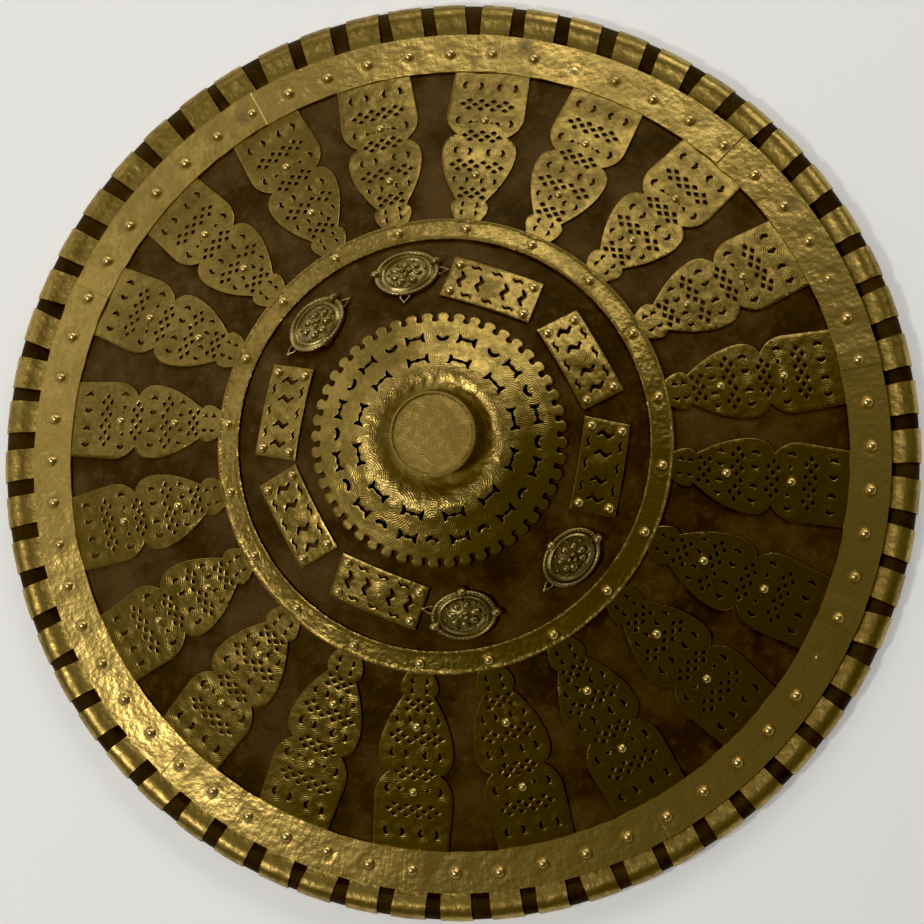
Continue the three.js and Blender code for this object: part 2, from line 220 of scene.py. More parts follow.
class Finish:
    """A material with one shader, built by adding nodes."""

    def __init__(self, name):
        self.material = bpy.data.materials.new(name)
        self.material.use_nodes = True
        self.tree = self.material.node_tree
        self.shader = self.tree.nodes["Principled BSDF"]
        self.place = self.node("ShaderNodeTexCoord", out="Object")

    def node(self, kind, settings=None, sockets=None, out=0):
        """Adds a node, sets it up, fills its sockets and gives one of its outputs."""
        made = self.tree.nodes.new(kind)
        for name, value in (settings or {}).items():
            setattr(made, name, value)
        self.fill(made, sockets or {})
        return Signal(self, made.outputs[out])

    def fill(self, made, sockets):
        for name, value in sockets.items():
            if isinstance(value, Signal):
                self.tree.links.new(value.socket, made.inputs[name])
            else:
                made.inputs[name].default_value = value

    def noise(self, scale, detail=4.0, rough=0.55, place=None):
        sockets = {"Vector": place or self.place, "Scale": scale, "Detail": detail, "Roughness": rough}
        return self.node("ShaderNodeTexNoise", {}, sockets)

    def mark(self, name):
        """A value that the mesh carries on its points."""
        return self.node("ShaderNodeAttribute", {"attribute_name": name}, out="Fac")

    def mix(self, share, first, second):
        pair = {0: share}
        for socket, colour in ((6, first), (7, second)):
            pair[socket] = colour if isinstance(colour, Signal) else (*colour, 1)
        return self.node("ShaderNodeMix", {"data_type": "RGBA"}, pair, out=2)

    def relief(self, height, depth):
        """Bump of a depth in millimetres."""
        return self.node("ShaderNodeBump", {}, {"Height": height, "Distance": depth * MM, "Strength": 1.0})


print("finishes are written as sums of patterns")

# %% [markdown]
# ## Brass
#
# The mounts are sheet brass, hammered by hand and grown dull, bright only where it was rubbed. Colour and
# roughness follow the same large patches. The mesh carries a mark for dirt and painted shade: real stains on
# the band, painted shade in rings round the rivets and on the knob's neck, and darker walls, undersides and
# low fields. Edges are rubbed, and the boss's crest is rubbed bright and painted brighter for a stronger
# highlight.
# Fine engraving is cut in rings round marks that the mesh carries as a distance, and the boss's crest is
# hammered deeper where the mesh says so.


# %% Brass finishes
# Colour of dirt and of painted shade.
GRIME_AND_SHADE = (0.02, 0.013, 0.005)
RUBBED_AND_HIGHLIGHT = (0.85, 0.62, 0.2)
ENGRAVED_PITCH = 0.95


def brass(name, bright, dull, hammer, hammer_scale, rough, bare=0.97, pattern=None):
    """Hammered brass between two tones, in places engraved."""
    finish = Finish(name)
    patches = finish.noise(30, 3).clamp(0.36, 0.66)
    freckles = finish.noise(430, 3, 0.65)
    tone = (patches * 0.2 + finish.noise(140, 3) * 0.4 + freckles * 0.6).clamp(0.3, 0.9)
    colour = finish.mix(tone, bright, dull)
    # Near-black where the mesh is marked: real stains, and painted shade round the rivets and under the
    # knob's disc.
    grime_and_shade = (finish.mark("dirt_and_shade") + freckles * 0.4).clamp(0.35, 1.15)
    colour = finish.mix(grime_and_shade, colour, GRIME_AND_SHADE)
    # Rubbed edges, and the boss's crest painted brighter for its highlight.
    colour = finish.mix(finish.mark("edge") * 0.2 * (1 - grime_and_shade), colour, RUBBED_AND_HIGHLIGHT)
    height = finish.noise(hammer_scale, 2, 0.4) * hammer + freckles * min(0.05, hammer / 4)
    if pattern:
        height = height + pattern(finish)
    shader = {
        "Base Color": colour,
        "Metallic": bare - grime_and_shade * 0.8,
        "Roughness": rough + tone * 0.2 + grime_and_shade * 0.3,
        "Normal": finish.relief(height, 1.0),
    }
    finish.fill(finish.shader, shader)
    finish.shader.inputs["Coat Weight"].default_value = 0.12
    finish.shader.inputs["Coat Roughness"].default_value = 0.3
    return finish.material


def planished(finish):
    """Short strokes of a hammer across the strip, from the mesh's own measures along and across it."""
    measures = {0: finish.mark("along") / 1.7, 1: finish.mark("across") / 8}
    strokes = finish.node("ShaderNodeCombineXYZ", {}, measures)
    return finish.noise(1.0, 2, 0.5, strokes) * 0.1


def engraved_rings(finish):
    """Worn, unsteady rings round the marks that the mesh carries as a distance in millimetres."""
    worn = finish.noise(70, 2).clamp(0.25, 0.55)
    reach = finish.mark("rings") + finish.noise(170, 1) * 1.1
    return (reach * (2 * math.pi / ENGRAVED_PITCH)).sin() * finish.mark("cut") * worn * 0.034


def beaten_crest(finish):
    """Engraved rings, and deep hammer marks where the mesh says that the sheet was beaten up."""
    return engraved_rings(finish) + finish.noise(300, 3, 0.6) * finish.mark("beaten") * 0.55


def engraved_spirals(finish):
    """Spirals, one in each cell of a scattered pattern."""
    cells = {"Vector": finish.place, "Scale": 1 / (6.5 * MM), "Randomness": 0.55}
    middle = finish.node("ShaderNodeTexVoronoi", {"voronoi_dimensions": "2D"}, cells, "Position")
    away = finish.node("ShaderNodeVectorMath", {"operation": "SUBTRACT"}, {0: finish.place, 1: middle})
    x = finish.node("ShaderNodeSeparateXYZ", {}, {0: away}, "X")
    y = finish.node("ShaderNodeSeparateXYZ", {}, {0: away}, "Y")
    reach = x.math("SQRT", x * x + y * y)
    return (reach * (2 * math.pi / (ENGRAVED_PITCH * MM)) + x.math("ARCTAN2", y, x)).sin() * 0.02


BRIGHT = (0.56, 0.398, 0.108)
DULL = (0.37, 0.26, 0.068)
OLIVE = (0.35, 0.249, 0.068)
BRONZE = (0.18, 0.125, 0.031)
WORN = (0.46, 0.327, 0.089)
DUSKY = (0.23, 0.16, 0.041)
POLISHED = (0.5, 0.355, 0.097)
TARNISHED = (0.32, 0.224, 0.06)
FOLDED = (0.55, 0.39, 0.106)
HEAD_BRIGHT = (0.92, 0.7, 0.27)
HEAD_DULL = (0.62, 0.44, 0.14)
CAST_BRIGHT = (0.5, 0.4, 0.165)
CAST_DULL = (0.25, 0.192, 0.072)
band_brass = brass("band_brass", BRIGHT, DULL, 0.2, 420, 0.24, 0.75, planished)
ring_brass = brass("ring_brass", WORN, DUSKY, 0.5, 420, 0.3, 0.93)
pierced_brass = brass("pierced_brass", OLIVE, BRONZE, 0.2, 300, 0.28, 0.97, engraved_rings)
tablet_brass = brass("tablet_brass", WORN, BRONZE, 0.3, 320, 0.3, 0.97, engraved_rings)
boss_brass = brass("boss_brass", WORN, DUSKY, 0.16, 320, 0.27, 0.97, beaten_crest)
knob_brass = brass("knob_brass", POLISHED, TARNISHED, 0.1, 260, 0.4, 0.9, engraved_spirals)
sleeve_brass = brass("sleeve_brass", FOLDED, DUSKY, 0.3, 320, 0.3, 0.9)
rivet_brass = brass("rivet_brass", HEAD_BRIGHT, HEAD_DULL, 0.02, 300, 0.24)
cast_brass = brass("cast_brass", CAST_BRIGHT, CAST_DULL, 0.1, 500, 0.27)
print(len(bpy.data.materials), "finishes so far")

# %% [markdown]
# ## Leather
#
# The hide is thick, dark and dry, mottled by handling and dusty in its grain. The grain is a fine
# noise raised as relief, and the colour wanders between three browns. The rolled rim is painted darker, and
# the mesh carries a mark for that. The floor is painted here too.


# %% Leather finishes
RIM_DARKENED = (0.02, 0.012, 0.0045)


def leather(name, dark, brown, dusty, grain_depth):
    """Dry leather of three browns with a pebbled grain."""
    finish = Finish(name)
    mottle = finish.noise(30, 5, 0.62).clamp(0.36, 0.66)
    spots = finish.noise(170, 4, 0.7).clamp(0.48, 0.72)
    pores = finish.noise(900, 2, 0.6)
    colour = finish.mix(mottle, dark, brown)
    colour = finish.mix(spots * 0.35, colour, dusty)
    colour = finish.mix(pores.clamp(0.5, 0.75) * 0.5, colour, dark)
    # Painted darker towards the rolled rim.
    colour = finish.mix(finish.mark("rim_darkening") * 0.55, colour, RIM_DARKENED)
    shader = {
        "Base Color": colour,
        "Roughness": 0.52 + spots * 0.2 + pores * 0.16,
        "Normal": finish.relief(pores + mottle * 0.5 + spots * 0.4, grain_depth),
    }
    finish.fill(finish.shader, shader)
    finish.shader.inputs["Specular IOR Level"].default_value = 0.12
    return finish.material


UMBER = (0.05, 0.029, 0.01)
BROWN = (0.122, 0.073, 0.027)
DUST = (0.2, 0.128, 0.057)
GRIP_BROWN = (0.04, 0.024, 0.011)
GRIP_DUST = (0.07, 0.046, 0.023)
PALE = (0.9, 0.915, 0.94)
PALER = (0.92, 0.935, 0.96)
FLOOR_GLOW = 0.28
hide_leather = leather("hide_leather", UMBER, BROWN, DUST, 0.2)
grip_leather = leather("grip_leather", UMBER, GRIP_BROWN, GRIP_DUST, 0.12)
paint = Finish("floor_paint")
paint.fill(paint.shader, {"Base Color": paint.mix(paint.noise(3, 2), PALE, PALER)})
paint.shader.inputs["Roughness"].default_value = 0.8
paint.shader.inputs["Emission Color"].default_value = (1, 1, 1, 1)
paint.shader.inputs["Emission Strength"].default_value = FLOOR_GLOW
floor.data.materials.append(paint.material)
print(len(bpy.data.materials), "finishes in all")


# %% [markdown]
# ## Finishing a piece
#
# Every piece ends the same way: seams merged, faces turned outwards, millimetres made metres, soft faces
# shaded smooth and real corners left sharp. Then it is hung under the root, and the solids it stands for are
# hidden.


# %% Finishing a piece
SEAM = 0.004


def as_mesh(name, bm):
    """Writes a drawn mesh out and lets the drawing go."""
    mesh = bpy.data.meshes.new(name)
    bm.to_mesh(mesh)
    bm.free()
    return mesh


def finished(name, bm, material, slot, *nodes, crease=38):
    """Makes the drawn mesh an object that stands for CAD nodes."""
    bmesh.ops.remove_doubles(bm, verts=bm.verts, dist=SEAM)
    bmesh.ops.recalc_face_normals(bm, faces=bm.faces)
    bmesh.ops.scale(bm, vec=(MM, MM, MM), verts=bm.verts)
    mesh = as_mesh(name, bm)
    mesh.shade_smooth()
    mesh.set_sharp_from_angle(angle=math.radians(crease))
    mesh.materials.append(material)
    piece = bpy.data.objects.new(name, mesh)
    scene.collection.objects.link(piece)
    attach(piece, "root")
    if nodes:
        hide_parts(*nodes)
    return piece


def carry(bm, name, value):
    """Writes a number on every point of the mesh, for the finish to read."""
    layer = bm.verts.layers.float.new(name)
    for vert in bm.verts:
        vert[layer] = value(vert.co)


def stamp(bm, shape, place):
    """Adds a copy of a small mesh at a place."""
    first = len(bm.verts)
    bm.from_mesh(shape)
    bmesh.ops.transform(bm, matrix=place, verts=bm.verts[first:])


def smooth(value, low, high):
    """Smooth step from 0 at low to 1 at high."""
    t = max(0.0, min(1.0, (value - low) / (high - low)))
    return t * t * (3 - 2 * t)


def face_up(bm):
    """Turns the faces of an open sheet so that they look up."""
    bmesh.ops.recalc_face_normals(bm, faces=bm.faces)
    if sum(face.normal.z for face in bm.faces) < 0:
        bmesh.ops.reverse_faces(bm, faces=bm.faces)


# %% [markdown]
# ## The hide
#
# One cone of hide with a rim rolled over a core of its own thickness. A section is spun about the axis, which
# keeps the wall whole at the crown and rim. Small dents are pushed into it, because no hide is a true cone.

# %% The hide
ROLL = Vector((204.15, 0, 5.6))
ROLL_RADIUS = 6.05
ROLL_START = -66
ROLL_STEP = 13.5
WALL = 5.4


def spun(section, steps):
    """Turns a chain of [radius, height] points about the axis."""
    bm = bmesh.new()
    chain = [bm.verts.new((0, radius, height)) for radius, height in section]
    edges = [bm.edges.new(pair) for pair in zip(chain, chain[1:])]
    bmesh.ops.spin(
        bm, geom=chain + edges, axis=(0, 0, 1), angle=2 * math.pi, steps=steps, use_merge=True
    )
    bmesh.ops.remove_doubles(bm, verts=bm.verts, dist=SEAM)
    return bm


def between(first, last, count):
    """Points on a line, both ends included."""
    return [tuple(Vector(first).lerp(Vector(last), i / count)) for i in range(count + 1)]


roll = []
for i in range(13):
    angle = math.radians(ROLL_START + ROLL_STEP * i)
    roll.append((ROLL.x + ROLL_RADIUS * math.cos(angle), ROLL.z + ROLL_RADIUS * math.sin(angle)))
section = between((0, 67.1), (52, 64.95), 8) + between((54, 64.1), (201.5, 0), 24)
section += [(203.6, 0), *roll, (200.6, 10.6), (198.4, 10), (196.2, 9.7), (194.1, 9.6)]
section += between((192, hide_top(192)), (53, hide_top(53)), 60)
section += [(49, 71.2), (40, 71.9), (20, 72.4), (0, 72.5)]
bm = spun(section, 200)
for vert in bm.verts:
    radius = vert.co.to_2d().length
    if 1 < radius < 199 and vert.co.z > 2:
        dent = noise.noise(vert.co * 0.03) * 0.16 + noise.noise(vert.co * 0.12) * 0.1
        vert.co.z += dent - 0.08
# The rolled rim is painted darker.
carry(bm, "rim_darkening", lambda spot: smooth(spot.to_2d().length, 194, 199))
hide = finished("hide_shell", bm, hide_leather, "hide", "hide", crease=60)
print("hide", len(hide.data.polygons), "faces")

# %% [markdown]
# ## Cutting sheet brass
#
# Plaques, tablets and the boss are sheet with openwork. The outline and its holes are filled as one flat
# face, given a narrow lip, and cut by a grid of planes, so that it can bend. Then it gets its thickness, and
# the lip is pressed down, which leaves the filed edge that catches the light.


# %% Cutting sheet brass
LIP = 0.2
LIP_DROP = 0.1


def cut_grid(bm, axis, step):
    """Cuts flat work by planes at even steps along an axis."""
    normal = Vector((axis == 0, axis == 1, 0))
    spots = [vert.co[axis] for vert in bm.verts]
    count = math.ceil((max(spots) - min(spots)) / step)
    for i in range(1, count):
        spot = normal * (min(spots) + (max(spots) - min(spots)) * i / count)
        geom = bm.verts[:] + bm.edges[:] + bm.faces[:]
        bmesh.ops.bisect_plane(bm, geom=geom, dist=0.06, plane_co=spot, plane_no=normal)


def sheet(outline, holes, steps):
    """Flat sheet with openwork and a narrow lip round every edge."""
    bm = bmesh.new()
    edges = []
    for points in [outline, *holes]:
        corners = [bm.verts.new((x, y, 0)) for x, y in points]
        edges += [bm.edges.new(pair) for pair in zip(corners, corners[1:] + corners[:1])]
    bmesh.ops.triangle_fill(bm, edges=edges, use_beauty=True)
    face_up(bm)
    bmesh.ops.inset_region(bm, faces=bm.faces[:], use_boundary=True, use_even_offset=True, thickness=LIP)
    cut_grid(bm, 0, steps[0])
    cut_grid(bm, 1, steps[1])
    return bm


def thickened(bm, thick, lip):
    """Gives flat sheet its thickness, presses its lip down and marks its walls and underside darker."""
    edge = bm.verts.layers.float.new("edge")
    dirt_and_shade = bm.verts.layers.float.new("dirt_and_shade")
    made = bmesh.ops.extrude_face_region(bm, geom=bm.faces[:], use_keep_orig=True)["geom"]
    top = {item for item in made if isinstance(item, bmesh.types.BMVert)}
    bmesh.ops.translate(bm, vec=(0, 0, thick), verts=list(top))
    for vert in bm.verts:
        # Walls and underside are marked darker.
        if vert not in top:
            vert[dirt_and_shade] = 1
        elif any(link.other_vert(vert) not in top for link in vert.link_edges):
            vert.co.z -= lip
            vert[edge] = 1
    return bm


def arc(x, y, wide, tall, first, last, count):
    """Points on an oval, from one angle to another."""
    points = []
    for i in range(count):
        angle = math.radians(first + (last - first) * i / (count - 1))
        points.append((x + wide * math.cos(angle), y + tall * math.sin(angle)))
    return points


def crescent(x, y, side, wide=2.1, tall=2.2):
    """Crescent hole that bulges to one side."""
    outer = arc(-0.5 * wide, 0, wide, tall, -78, 78, 7)
    inner = arc(-0.62 * wide, 0, wide * 0.36, tall * 0.9, 62, -62, 5)
    return [(x + side * dx, y + dy) for dx, dy in outer + inner]


def lattice(x, y, rows, pitch, row_pitch):
    """Rows of lozenge holes, each row set off by half a pitch."""
    holes = []
    for i, count in enumerate(rows):
        row = y + (len(rows) / 2 - 0.5 - i) * row_pitch
        for k in range(count):
            spot = x + (k - (count - 1) / 2) * pitch
            holes.append([(spot - 1.5, row), (spot, row - 1.2), (spot + 1.5, row), (spot, row + 1.2)])
    return holes


print("sheet is filled, lipped, cut and thickened")

# %% [markdown]
# ## Long plaques
#
# Twenty pierced plaques run down the cone, their heads against the band and their feet on the ring. The
# outline is half a side of curves, mirrored. The openwork is rows of crescents, lozenge lattices and marks,
# each row at its share of the length.

# %% Long plaques
PLAQUES = 20
PLAQUE_STEP = 360 / PLAQUES
PLAQUE_BEARING = 6.1
FOOT_RADIUS = 102.2
HEAD_RADIUS = 176.5
LENGTH = (HEAD_RADIUS - FOOT_RADIUS) / math.cos(PITCH)
CRESCENT_ROWS = ((0.085, 4.1, 11.7, 2.3), (0.545, 4.2, 10.8, 2.1), (0.745, 3.4, 9.2, 1.7))
MARK_ROW = 0.335
MARK = ((-2.3, 0.9), (0, 0.5), (2.1, -0.9), (2.1, -0.1), (0.4, 0.2), (-1.2, -1.0))
PLAQUE_RIVETS = (0.325, 0.705)
PLAQUE_HEAD = 2.2
RIVET_CLEAR = 3
TUCK = 0.03
PLAQUE_SHEET = 0.7
PLAQUE_GAP = 0.12


def off_centre(bearing):
    """How far out the band lies on a bearing, for it was never quite centred on the hide."""
    return 2 * math.cos(math.radians(bearing - 150))


def down(share):
    """Height on a plaque at a share of its length from the head."""
    return (1 - share) * LENGTH


def curve(first, control, last, count):
    """Quadratic curve without its first point."""
    points = []
    for i in range(1, count + 1):
        t = i / count
        a = Vector(first).lerp(Vector(control), t)
        points.append(tuple(a.lerp(Vector(control).lerp(Vector(last), t), t)))
    return points


side = [(17.2, down(-TUCK)), (17.3, down(0.03)), (17.5, down(0.14)), (17.8, down(0.28))]
side += curve(side[-1], (17.6, down(0.38)), (11.4, down(0.435)), 8)
side += curve(side[-1], (16.6, down(0.46)), (16.8, down(0.55)), 8)
side += curve(side[-1], (16.4, down(0.7)), (6.6, down(0.885)), 12)
side += curve(side[-1], (10.8, down(0.925)), (5.0, down(1 + TUCK)), 11)
plaque_outline = side + [(-x, y) for x, y in reversed(side)]
plaque_holes = []
for share, inner, outer, tall in CRESCENT_ROWS:
    for x, bulge in ((-outer, -1), (-inner, 1), (inner, -1), (outer, 1)):
        plaque_holes.append(crescent(x, down(share), bulge, 0.95 * tall, tall))
for bulge in (-1, 1):
    plaque_holes.append(crescent(12.2 * bulge, down(MARK_ROW), bulge))
    plaque_holes.append([(bulge * (5.2 - x), down(MARK_ROW + 0.006) - y) for x, y in MARK])
    for share in (0.912, 0.968):
        plaque_holes.append(crescent(3.2 * bulge, down(share), bulge, 1.5, 1.5))
plaque_holes += lattice(0, down(0.218), (4, 5, 4), 5.5, 2.35)
plaque_holes += lattice(0, down(0.437), (3, 4, 3), 5.2, 2.3)
plaque_holes += lattice(0, down(0.647), (4, 5, 4), 5.5, 2.3)
plaque_holes += lattice(0, down(0.832), (3, 2, 3), 4.9, 2.15)
rivet_spot = (0, down(PLAQUE_RIVETS[1]))
plaque_holes = [hole for hole in plaque_holes if math.dist(hole[0], rivet_spot) > RIVET_CLEAR]
print(len(plaque_holes), "holes in a plaque")

# %% [markdown]
# One flat plaque is cut to that pattern and carries its engraving as distances to the crescents. It is then
# bent on the cone at each place, a touch askew and with its own small dents, as hand work is. Its head and
# foot slip under the band and the ring, and it is as long as the band's place asks.


# %% Plaques bent on the cone
def nearest(points, spot):
    """Distance on the sheet from a spot to the nearest of some points."""
    return min((spot.to_2d() - point.to_2d()).length for point in points)


centres = []
for share, inner, outer, tall in (*CRESCENT_ROWS, (MARK_ROW, 5.2, 12.2, 2.2)):
    centres += [Vector((x, down(share), 0)) for x in (-outer, -inner, inner, outer)]
bm = thickened(sheet(plaque_outline, plaque_holes, (2.0, 2.0)), PLAQUE_SHEET, LIP_DROP)
carry(bm, "rings", lambda spot: nearest(centres, spot))
carry(bm, "cut", lambda spot: smooth(nearest(centres, spot), 6.5, 4.0))
flat_plaque = as_mesh("flat_plaque", bm)
rivets = []
for i in range(PLAQUES):
    wander = random.Random(40 + i)
    bearing = PLAQUE_BEARING + PLAQUE_STEP * i + wander.uniform(-0.35, 0.35)
    drift = Vector((wander.uniform(-90, 90), wander.uniform(-90, 90), 0))
    askew = Matrix.Rotation(wander.uniform(-0.012, 0.012), 3, "Z")
    stretch = 1 + off_centre(bearing) / math.cos(PITCH) / LENGTH
    bm = bmesh.new()
    bm.from_mesh(flat_plaque)
    bmesh.ops.rotate(bm, verts=bm.verts, cent=(0, LENGTH, 0), matrix=askew)
    for vert in bm.verts:
        spot = vert.co + drift
        dent = noise.noise(spot * 0.11) * 0.22 + noise.noise(spot * 0.3) * 0.06
        vert.co.y *= stretch
        vert.co.z += PLAQUE_GAP + max(0.0, dent + 0.2)
    lay_on_cone(bm, bearing, FOOT_RADIUS)
    finished(f"long_plaque_{i + 1}", bm, pierced_brass, "brass", f"plaque_{i + 1}")
    for share in PLAQUE_RIVETS:
        spot = wrapped_seat(bearing, FOOT_RADIUS, 0, down(share) * stretch, PLAQUE_GAP + PLAQUE_SHEET)
        rivets.append((spot, PLAQUE_HEAD))
print("plaques", len(flat_plaque.polygons), "faces each")

# %% [markdown]
# ## Rim sleeves
#
# Sixty short sleeves are folded over the rolled rim, with hide showing between them. Each is a strip of
# section spun through its own few degrees and given a wall, a little wider or more askew than the next.

# %% Rim sleeves
SLEEVES = 60
SLEEVE_BEARING = 5.6
SLEEVE_SHEET = 0.55
SLEEVE_RADIUS = 6.75
SLEEVE_WIDTH = 14.6
bm = bmesh.new()
wander = random.Random(7)
for i in range(SLEEVES):
    middle = SLEEVE_BEARING + 360 / SLEEVES * i + wander.uniform(-0.22, 0.22)
    width = math.degrees((SLEEVE_WIDTH + wander.uniform(-0.8, 0.8)) / ROLL.x)
    skew = wander.uniform(-0.035, 0.035)
    fold = [(190.5, 12.2), (193.2, 11.6), (195.9, 11.2), (198.6, 11.2)]
    for k in range(12):
        angle = math.radians(112 - 15 * k)
        fold.append((ROLL.x + SLEEVE_RADIUS * math.cos(angle), ROLL.z + SLEEVE_RADIUS * math.sin(angle)))
    chain = [bm.verts.new(at(middle - width / 2 + skew * (r - 200), r, z)) for r, z in fold]
    edges = [bm.edges.new(pair) for pair in zip(chain, chain[1:])]
    bmesh.ops.spin(bm, geom=chain + edges, axis=(0, 0, -1), angle=math.radians(width), steps=10)
face_up(bm)
for vert in bm.verts:
    dent = noise.noise(vert.co * 0.16) * 0.16 + noise.noise(vert.co * 0.4) * 0.05
    vert.co += vert.normal * dent
bmesh.ops.solidify(bm, geom=bm.faces[:], thickness=SLEEVE_SHEET)
strips = [f"band_strip_{i + 1}" for i in range(10)]
sleeves = finished("rim_sleeves", bm, sleeve_brass, "brass", *strips)
print("sleeves", len(sleeves.data.polygons), "faces")

# %% [markdown]
# ## Edge band
#
# Ten strips of hammered sheet lap at every sixth rivet. Each is a fine grid, so that the hammer marks and the
# dished ring round each rivet are real. A strip's far end climbs over the start of the next one, and its
# outer edge lies tipped up on the sleeves that it clamps.

# %% Edge band
BAND_INNER = 177.4
BAND_OUTER = 194.6
BAND_SHEET = 0.9
BAND_TIP = 3.2
RIVET_RADIUS = 186.2
RIVET_BEARING = 5.66
RIVET_STEP = 6
STRIP_TURN = 6 * RIVET_STEP
LOST_HEADS = (2, 10, 19)
LAP = 2.4
CLIMB = 2.4
STAINS = ((10, 190, 6), (54, 190, 5), (328, 184, 6))


def rivet_reach(bearing, radius):
    """Distance to the nearest rivet of the band."""
    off = (bearing - RIVET_BEARING + RIVET_STEP / 2) % RIVET_STEP - RIVET_STEP / 2
    return math.hypot(math.radians(off) * radius, radius - RIVET_RADIUS)


def bump_ring(reach, middle, width):
    """Round wave that peaks at a distance."""
    return math.exp(-(((reach - middle) / width) ** 2))


for i, strip in enumerate(strips):
    first = RIVET_BEARING - LAP / 2 + STRIP_TURN * i
    last = first + STRIP_TURN + LAP
    bm = bmesh.new()
    bmesh.ops.create_grid(bm, x_segments=130, y_segments=20, size=0.5)
    bmesh.ops.inset_region(bm, faces=bm.faces[:], use_boundary=True, thickness=0.004)
    thickened(bm, 1.0, 0.0)
    dirt_and_shade = bm.verts.layers.float["dirt_and_shade"]
    edge = bm.verts.layers.float["edge"]
    along = bm.verts.layers.float.new("along")
    across = bm.verts.layers.float.new("across")
    for vert in bm.verts:
        bearing = first + (last - first) * (vert.co.x + 0.5)
        radius = BAND_INNER + (BAND_OUTER - BAND_INNER) * (vert.co.y + 0.5)
        radius += noise.noise(Vector((bearing * 0.4, i * 5, 0))) * (0.5 if vert.co.y < 0 else 0.1)
        reach = rivet_reach(bearing, radius)
        radius += off_centre(bearing)
        spot = at(bearing, radius)
        vert[along] = math.radians(bearing) * RIVET_RADIUS
        vert[across] = radius
        lift = GAP + vert.co.z * BAND_SHEET - vert[edge] * 0.25
        lift += BAND_TIP * (vert.co.y + 0.5)
        lift += 0.3 + noise.noise(spot * 0.12) * 0.2 + noise.noise(spot * 0.4) * 0.08
        lift -= 0.15 * bump_ring(reach, 3.2, 1.0)
        lift += 0.5 * smooth(bearing, last - LAP - CLIMB, last - LAP)
        stain = sum(bump_ring((spot - at(*place)).length, 0, wide) for *place, wide in STAINS)
        # Painted shade in a dark ring round each rivet, and real stains.
        vert[dirt_and_shade] = max(vert[dirt_and_shade], 0.5 * bump_ring(reach, 2.9, 0.7), 0.55 * stain)
        vert.co = seat(bearing, radius, lift).translation
    finished(f"band_sheet_{i + 1}", bm, band_brass, "brass", strip)
print("band of", len(strips), "strips")

# %% [markdown]
# ## Inner ring
#
# A plain hammered ring covers the feet of the plaques, with one rivet under each. Its section is spun in one
# turn and its edges are dressed up a little, so that both show as bright lines.

# %% Inner ring
RING_INNER = 91.6
RING_OUTER = 101.6
RING_MIDDLE = (RING_INNER + RING_OUTER) / 2
RING_HEAD = 2.4
UPRIGHT = 1.09
section = [(RING_INNER, 0.3)]
for i in range(17):
    share = i / 16
    dressed = 0.4 * (bump_ring(share, 0.06, 0.06) + bump_ring(share, 0.94, 0.06))
    section.append((RING_INNER + (RING_OUTER - RING_INNER) * share, 1.4 + dressed))
section += [(RING_OUTER, 0.3), section[0]]
bm = spun([(radius, hide_top(radius) + lift * UPRIGHT) for radius, lift in section], 320)
dirt_and_shade = bm.verts.layers.float.new("dirt_and_shade")
for vert in bm.verts:
    radius = vert.co.to_2d().length
    bearing = math.degrees(math.atan2(vert.co.x, vert.co.y))
    off = (bearing - PLAQUE_BEARING + PLAQUE_STEP / 2) % PLAQUE_STEP - PLAQUE_STEP / 2
    reach = math.hypot(math.radians(off) * radius, radius - RING_MIDDLE)
    dent = noise.noise(vert.co * 0.15) * 0.22 + noise.noise(vert.co * 0.45) * 0.14
    vert.co.z += dent - 0.35 * bump_ring(reach, 2.8, 1.1)
    # Painted shade in a dark ring round each rivet.
    vert[dirt_and_shade] = 0.5 * bump_ring(reach, 2.6, 0.7)
ring = finished("ring_sheet", bm, ring_brass, "brass", "inner_ring")
for i in range(PLAQUES):
    rivets.append((seat(PLAQUE_BEARING + PLAQUE_STEP * i, RING_MIDDLE, GAP + SHEET), RING_HEAD))
print("ring", len(ring.data.polygons), "faces")

# %% [markdown]
# ## Tablets
#
# Six pierced tablets sit round the boss, bent to the cone. Each has four wavy slots, wavy dashes along its
# long edges and a rivet in each corner. The middle is pushed up from behind and engraved with rings.

# %% Tablets
TABLET_BEARINGS = (18.6, 60.2, 99.7, 202.4, 242.8, 281.4)
TABLET_RADIUS = 70.8
TABLET_HALF = Vector((20.5, 10.5))
TABLET_HEAD = 2.35


def wavy(x, y, length, along, swing, width):
    """Wavy slot that runs across or along the tablet."""
    lines = ([], [])
    for i in range(9):
        t = i / 4 - 1
        wave = swing * math.sin(t * 1.5 * math.pi)
        half = width * (1 - 0.5 * t * t)
        for line, offset in zip(lines, (-half, half)):
            run = (t * length / 2, wave + offset)
            line.append((x + run[0], y + run[1]) if along else (x + run[1], y + run[0]))
    return lines[0] + lines[1][::-1]


corners = [(x * TABLET_HALF.x, y * TABLET_HALF.y) for x, y in ((-1, -1), (1, -1), (1, 1), (-1, 1))]
tablet_outline = []
for corner, following in zip(corners, corners[1:] + corners[:1]):
    tablet_outline += between(corner, following, 6)[:-1]
tablet_holes = [wavy(x, 0, 8.2, False, 0.8, 1.1) for x in (-14.2, -5.8, 5.8, 14.0)]
tablet_holes += [wavy(x, y, 5.2, True, 0.5, 0.6) for x in (-9.6, 0, 9.6) for y in (-7.4, 7.4)]
tablet_rivets = [Vector((x, y, 0)) for x in (-17, 17) for y in (-7.1, 7.1)]
bm = thickened(sheet(tablet_outline, tablet_holes, (1.6, 1.6)), SHEET, LIP_DROP)
carry(bm, "rings", lambda spot: spot.to_2d().length)
carry(bm, "cut", lambda spot: smooth(spot.to_2d().length, 5.4, 4.2))
flat_tablet = as_mesh("flat_tablet", bm)
